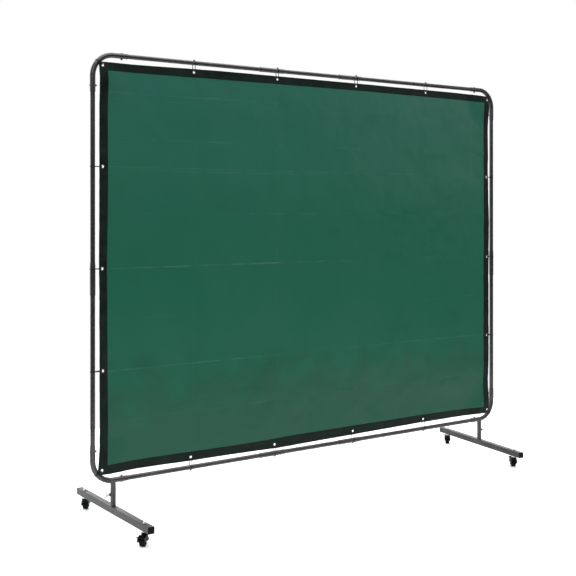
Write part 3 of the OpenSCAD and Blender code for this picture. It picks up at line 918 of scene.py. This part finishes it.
class SCREEN_OT_hem(bpy.types.Operator):
    """Makes the folded black hem and its stitching"""

    bl_idname = "screen.hem"
    bl_label = "Hem"

    def execute(self, context):
        settings = hem_settings()
        hem = self.hem(settings)
        stitches = self.stitches(settings)
        settle(hem, "vinyl_hem", "curtain_hem")
        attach(stitches, FRAME_BODY)
        return {"FINISHED"}

    def outline(self, inset, step):
        """Points round the curtain, inset from its edge."""
        radius = max(CORNER_R - inset, 0.0)
        half_w, half_h = CURTAIN_W / 2 - inset, CURTAIN_H / 2 - inset
        mid_x = (CURTAIN_LEFT + CURTAIN_RIGHT) / 2
        mid_z = (CURTAIN_BOTTOM + CURTAIN_TOP) / 2
        points = []
        corners = ((1, 1, 0), (-1, 1, 90), (-1, -1, 180), (1, -1, 270))
        turns = 6
        for number, (sx, sz, start) in enumerate(corners):
            centre = Vector((mid_x + sx * (half_w - radius), 0, mid_z + sz * (half_h - radius)))
            for k in range(turns + 1):
                angle = math.radians(start + 90 * k / turns)
                way = Vector((math.cos(angle), 0, math.sin(angle)))
                points.append(centre + way * radius)
            nx, nz, _ = corners[(number + 1) % 4]
            span_end = Vector((mid_x + nx * (half_w - radius), 0, mid_z + nz * (half_h - radius)))
            angle = math.radians(start + 90)
            way = Vector((math.cos(angle), 0, math.sin(angle)))
            run = span_end - centre
            count = max(2, int(run.length / step))
            points += [centre + run * (i / count) + way * radius for i in range(1, count)]
        return points

    def hem(self, settings):
        surface = sheet_surface()
        half = settings.thickness / 2
        width = settings.width
        insets = [0.0, 0.5 * MM, 1.6 * MM, 4 * MM, 9 * MM, 15 * MM, 21 * MM, 28 * MM, 34 * MM,
                  width - 1.5 * MM, width - 0.3 * MM, width]
        depths = [0.0, 0.6, 0.95] + [1.0] * (len(insets) - 5) + [0.92, 0.55]
        rings = []
        for edge in self.outline(0.0, 12 * MM):
            ring_front, ring_back = [], []
            for inset, depth in zip(insets, depths):
                flat = self.inset_point(edge, inset)
                place, _ = surface.point(flat.x, flat.z, creased=False)
                pucker = 0.00035 * noise.noise(Vector((flat.x * 60, 1.0, flat.z * 60)))
                thick = half * depth
                ring_front.append(place + Vector((0, -thick + pucker * depth, 0)))
                ring_back.append(place + Vector((0, thick + pucker * depth, 0)))
            rings.append(ring_front + ring_back[::-1])
        shape = Shape()
        shape.ring_strip(rings, closed_run=True)
        hem = shape.piece("hem_strip", hem_vinyl(settings))
        weld = hem.modifiers.new("weld", "WELD")
        weld.merge_threshold = 0.00005
        apply_modifiers(hem)
        self.punch(hem)
        return hem

    def inset_point(self, edge, inset):
        """Moves an edge point in by inset, keeping the hem's inside corners square."""
        width = hem_settings().width
        inner = Vector(
            (
                max(CURTAIN_LEFT + width, min(CURTAIN_RIGHT - width, edge.x)),
                0,
                max(CURTAIN_BOTTOM + width, min(CURTAIN_TOP - width, edge.z)),
            )
        )
        return edge.lerp(inner, inset / width)

    def punch(self, hem):
        """Cuts the eyelets' holes through the hem."""
        surface = sheet_surface()
        cutter = Shape()
        steps = 24
        for x, z, _ in eyelet_places():
            centre, _ = surface.point(x, z, creased=False)
            rings = [
                [
                    centre
                    + Vector((EYELET_HOLE_R * math.cos(a), depth, EYELET_HOLE_R * math.sin(a)))
                    for a in (2 * math.pi * k / steps for k in range(steps))
                ]
                for depth in (-PUNCH_REACH, PUNCH_REACH)
            ]
            cutter.ring_strip(rings, caps=True)
        tool = cutter.piece("punch", hem.data.materials[0])
        cut = hem.modifiers.new("holes", "BOOLEAN")
        cut.operation = "DIFFERENCE"
        cut.solver = "EXACT"
        cut.object = tool
        apply_modifiers(hem)
        bpy.data.objects.remove(tool)

    def stitches(self, settings):
        """Two rows of lockstitch on both faces, one near each edge of the hem."""
        surface = sheet_surface()
        pitch = settings.stitch_long + settings.stitch_gap
        half = settings.thickness / 2
        thread_r = 0.45 * MM
        shape = Shape()
        for inset in (4 * MM, settings.width - 4 * MM):
            line = self.outline(inset, 6 * MM)
            closed = line + [line[0]]
            runs = [(b - a).length for a, b in zip(closed, closed[1:])]
            total = sum(runs)
            count = int(total / pitch)
            starts = np.cumsum([0.0] + runs)
            for n in range(count):
                ends = []
                for at in (n * pitch, n * pitch + settings.stitch_long):
                    k = min(int(np.searchsorted(starts, at, "right")) - 1, len(runs) - 1)
                    share = (at - starts[k]) / runs[k]
                    ends.append(closed[k].lerp(closed[k + 1], min(share, 1.0)))
                if self.near_eyelet((ends[0] + ends[1]) / 2):
                    continue
                places = [surface.point(e.x, e.z, creased=False)[0] for e in ends]
                for side in (-1, 1):
                    self.stitch(shape, places, side, half, thread_r)
        made = moulded("hem_thread", tuple(settings.thread), 0.5, grain=2600.0)
        return shape.piece("hem_stitches", made)

    def near_eyelet(self, place):
        return any(
            math.hypot(place.x - x, place.z - z) < FLANGE_R + 1 * MM for x, z, _ in eyelet_places()
        )

    def stitch(self, shape, ends, side, half, thread_r):
        """One stitch: a short thread that dives into the hem at both ends."""
        along = (ends[1] - ends[0]).normalized()
        out = Vector((0, side, 0))
        across = along.cross(out)
        rings = []
        for share, lift, thick in ((0, -0.5, 0.6), (0.22, 0.55, 1.0), (0.78, 0.55, 1.0), (1, -0.5, 0.6)):
            centre = ends[0].lerp(ends[1], share) + out * (half + lift * thread_r)
            rings.append(
                [
                    centre
                    + across * (thread_r * thick * math.cos(a))
                    + out * (thread_r * thick * math.sin(a))
                    for a in (2 * math.pi * k / 5 for k in range(5))
                ]
            )
        shape.ring_strip(rings, caps=True)


class SCREEN_OT_eyelets(bpy.types.Operator):
    """Makes the rolled metal eyelets in the hem"""

    bl_idname = "screen.eyelets"
    bl_label = "Eyelets"

    def execute(self, context):
        surface = sheet_surface()
        steps = 36
        # radius and depth from the hem's middle, in millimetres, round one eyelet's section
        section = [
            (6.0, -1.3), (6.15, -2.1), (6.7, -2.65), (7.6, -2.85), (8.7, -2.7), (9.7, -2.2),
            (10.4, -1.5), (10.45, -1.25), (9.0, -1.15), (7.1, -1.1), (7.1, 1.1), (9.0, 1.15),
            (10.3, 1.25), (10.4, 1.5), (9.6, 1.95), (8.2, 2.2), (7.0, 2.3), (6.3, 2.0), (6.0, 1.4),
        ]
        shape = Shape()
        for x, z, _ in eyelet_places():
            centre, _ = surface.point(x, z, creased=False)
            rings = [
                [
                    centre + Vector((r * MM * math.cos(a), depth * MM, r * MM * math.sin(a)))
                    for r, depth in section
                ]
                for a in (2 * math.pi * k / steps for k in range(steps))
            ]
            shape.ring_strip(rings, closed_run=True)
        metal = Finish("eyelet_metal", Metallic=0.85)
        tone = tuple(finish_settings().eyelet)
        rub = metal.noise(420.0, detail=4.0)
        metal.colour(metal.blend(metal.ramp(rub, 0.45, 0.75), tone, shade(tone, 3.2)))
        metal.gloss(metal.ramp(rub, 0.3, 0.7, 0.26, 0.42))
        metal.bump(rub, 0.00004, 0.4)
        eyelets = shape.piece("eyelets", metal.material)
        settle(eyelets, "eyelet_metal", "grommets")
        return {"FINISHED"}


class SCREEN_OT_ties(bpy.types.Operator):
    """Makes the cable ties that hold the curtain in the frame"""

    bl_idname = "screen.ties"
    bl_label = "Cable ties"

    def execute(self, context):
        shape = Shape()
        for x, z, turn in eyelet_places():
            self.tie(shape, x, z, turn)
        nylon = moulded("tie_nylon", (0.012, 0.012, 0.013), 0.38, grain=1500.0)
        ties = shape.piece("cable_ties_black", nylon)
        settle(ties, "tie_nylon", "cable_ties")
        return {"FINISHED"}

    def reach(self, x, z, turn):
        """Distance from an eyelet to its tube's centreline, and that tube's radius."""
        if turn in (90.0, -90.0):
            wide = any(low < x < high for low, high in RAIL_SWAGES)
            rail = TOP_RAIL_Z if turn > 0 else BOTTOM_RAIL_Z
            return abs(rail - z), SLEEVE_R if wide else TUBE_R
        if turn in (0.0, 180.0):
            wide = SIDE_SWAGE[0] < z < SIDE_SWAGE[1]
            return SIDE_X - abs(x), SLEEVE_R if wide else TUBE_R
        bend = bend_centre(x > 0, z > (CURTAIN_BOTTOM + CURTAIN_TOP) / 2)
        return BEND_R - (Vector((x, 0, z)) - bend).length, SLEEVE_R

    def loop(self, circles):
        """The band's inside line: the tight outline round some circles, with its outward ways."""
        dots = sorted(
            (cx + r * math.cos(a), cy + r * math.sin(a), math.cos(a), math.sin(a))
            for cx, cy, r in circles
            for a in (2 * math.pi * k / 40 for k in range(40))
        )
        sides = []
        for run in (dots, dots[::-1]):
            side = []
            for dot in run:
                while len(side) > 1 and self.turns_in(side[-2], side[-1], dot):
                    side.pop()
                side.append(dot)
            sides += side[:-1]
        return sides

    def turns_in(self, a, b, c):
        return (b[0] - a[0]) * (c[1] - a[1]) - (b[1] - a[1]) * (c[0] - a[0]) <= 1e-12

    def tie(self, shape, x, z, turn):
        """A band through the eyelet and round the tube, with its ratchet head past the tube."""
        place, _ = sheet_surface().point(x, z, creased=False)
        far, radius = self.reach(place.x, place.z, turn)
        gap, thick, wide = 0.3 * MM, 1.3 * MM, 3.6 * MM
        big = radius + gap
        circles = [(far, 0.0, big)]
        if turn in (90.0, -90.0, 0.0, 180.0):
            circles.append((TIE_TURN_IN, place.y, TIE_TURN_R))
        else:
            circles += [(at, place.y, CORNER_TIE_TURN_R) for at in CORNER_TIE_TURNS]
        turned = Matrix.Translation((place.x, 0, place.z)) @ Matrix.Rotation(
            -math.radians(turn), 4, "Y"
        )
        edge = 0.35 * MM
        section = [
            (0.0, -wide / 2 + edge), (0.0, wide / 2 - edge), (edge, wide / 2),
            (thick - edge, wide / 2), (thick, wide / 2 - edge), (thick, -wide / 2 + edge),
            (thick - edge, -wide / 2), (edge, -wide / 2),
        ]
        rings = [
            [turned @ Vector((px + nx * out, py + ny * out, side)) for out, side in section]
            for px, py, nx, ny in self.loop(circles)
        ]
        shape.ring_strip(rings, closed_run=True)
        # the head sits on top of a rail's tie, and behind the tube on the others
        out, back = (1.0, 0.0) if turn in (90.0, -90.0) else (0.0, 1.0)
        away = big + thick
        head = turned @ Matrix.Translation(
            (far + out * (away + 1.4 * MM), back * (away + 1.4 * MM), 0)
        )
        size = (3.4 * MM, 6.0 * MM, 5.2 * MM) if out else (6.0 * MM, 3.4 * MM, 5.2 * MM)
        shape.block(head, size, 0.7 * MM)
        tail = turned @ Matrix.Translation(
            (
                far + out * (away + 0.9 * MM) + back * 4.4 * MM,
                back * (away + 0.9 * MM) + out * 4.4 * MM,
                0,
            )
        )
        size = (1.2 * MM, 5.2 * MM, wide) if out else (5.2 * MM, 1.2 * MM, wide)
        shape.block(tail, size, 0.25 * MM)


class SCREEN_OT_frame_finish(bpy.types.Operator):
    """Paints the tube frame and plates its bolts and nuts"""

    bl_idname = "screen.frame_finish"
    bl_label = "Frame finish"

    def execute(self, context):
        settings = finish_settings()
        paint = powder_coat("frame_paint", tuple(settings.frame_paint), 0.22, 0.65)
        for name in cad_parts:
            if name.startswith(("corner_", "rail_", "side_")):
                dress(name, paint)
        zinc = plated_steel("bolt_zinc", shade(tuple(settings.zinc), 0.3), 0.3)
        for name in ("frame_bolts", "frame_nuts"):
            dress(name, zinc, 0.35 * MM)
        dress("leg_nuts", powder_coat("nut_black", (0.012, 0.012, 0.012), 0.38, 0.0), 0.4 * MM)
        return {"FINISHED"}


class SCREEN_OT_feet(bpy.types.Operator):
    """Paints the feet and finishes their plugs, nuts and wing bolts"""

    bl_idname = "screen.feet"
    bl_label = "Feet"

    def execute(self, context):
        settings = finish_settings()
        paint = powder_coat("foot_paint", tuple(settings.foot_paint), 0.34, 0.2, specular=0.12)
        zinc = plated_steel("wing_zinc", tuple(settings.zinc), 0.26)
        plug = moulded("plug_plastic", tuple(settings.nylon), 0.42)
        for side in ("left", "right"):
            dress(f"foot_{side}_tube", paint)
            dress(f"foot_{side}_spigot", paint)
            dress(f"foot_{side}_plugs", plug, 0.6 * MM)
            dress(f"foot_{side}_stem_nuts", zinc, 0.3 * MM)
            dress(f"wing_bolt_{side}", zinc, 0.4 * MM)
        return {"FINISHED"}


class SCREEN_OT_casters(bpy.types.Operator):
    """Finishes the four braked casters"""

    bl_idname = "screen.casters"
    bl_label = "Casters"

    def execute(self, context):
        settings = finish_settings()
        nylon = moulded("caster_nylon", tuple(settings.nylon), 0.34)
        rubber = moulded("tyre_rubber", tuple(settings.rubber), 0.6, grain=500.0)
        steel = plated_steel("caster_steel", tuple(settings.zinc), 0.3)
        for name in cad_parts:
            if not name.startswith("caster_"):
                continue
            part = name.rsplit("_", 1)[1]
            finish = {"tyre": rubber, "stem": steel, "axle": steel}.get(part, nylon)
            dress(name, finish, 0.0 if part in ("tyre", "stem") else 0.4 * MM)
        return {"FINISHED"}


def dress(name, material, bevel=0.0):
    """Gives a CAD node its material, and softens its edges by bevel."""
    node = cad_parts[name]
    node.data.materials.clear()
    node.data.materials.append(material)
    if bevel:
        weld = node.modifiers.new("weld", "WELD")
        weld.merge_threshold = 0.00001
        soften = node.modifiers.new("soften", "BEVEL")
        soften.width = bevel
        soften.segments = 2
        soften.limit_method = "ANGLE"
        soften.angle_limit = math.radians(38)
        soften.harden_normals = False


class SCREEN_OT_declare(bpy.types.Operator):
    bl_idname = "screen.declare"
    bl_label = "Declare the sheet"

    def execute(self, context):
        return {"FINISHED"}


OPERATORS = (
    SCREEN_OT_stage,
    SCREEN_OT_curtain,
    SCREEN_OT_hem,
    SCREEN_OT_eyelets,
    SCREEN_OT_ties,
    SCREEN_OT_frame_finish,
    SCREEN_OT_feet,
    SCREEN_OT_casters,
    SCREEN_OT_declare,
)
GROUPS = {
    "screen_curtain": CurtainSettings,
    "screen_hem": HemSettings,
    "screen_finish": FinishSettings,
    "screen_stage": StageSettings,
}


class SCREEN_PT_panel(bpy.types.Panel):
    """Lists the screen's pieces and the settings that shape them"""

    bl_idname = "SCREEN_PT_panel"
    bl_label = "Welding screen"
    bl_space_type = "VIEW_3D"
    bl_region_type = "UI"
    bl_category = "Screen"

    def draw(self, context):
        for operator in OPERATORS:
            self.layout.operator(operator.bl_idname)
        for name, group in GROUPS.items():
            box = self.layout.box()
            for setting in group.__annotations__:
                box.prop(getattr(context.scene, name), setting)


CLASSES = (*GROUPS.values(), *OPERATORS, SCREEN_PT_panel)


def register():
    for cls in CLASSES:
        bpy.utils.register_class(cls)
    for name, group in GROUPS.items():
        setattr(bpy.types.Scene, name, PointerProperty(type=group))


def unregister():
    for name in GROUPS:
        delattr(bpy.types.Scene, name)
    for cls in reversed(CLASSES):
        bpy.utils.unregister_class(cls)


def main():
    register()
    for operator in OPERATORS:
        group, name = operator.bl_idname.split(".")
        getattr(getattr(bpy.ops, group), name)()


if __name__ == "__main__":
    main()
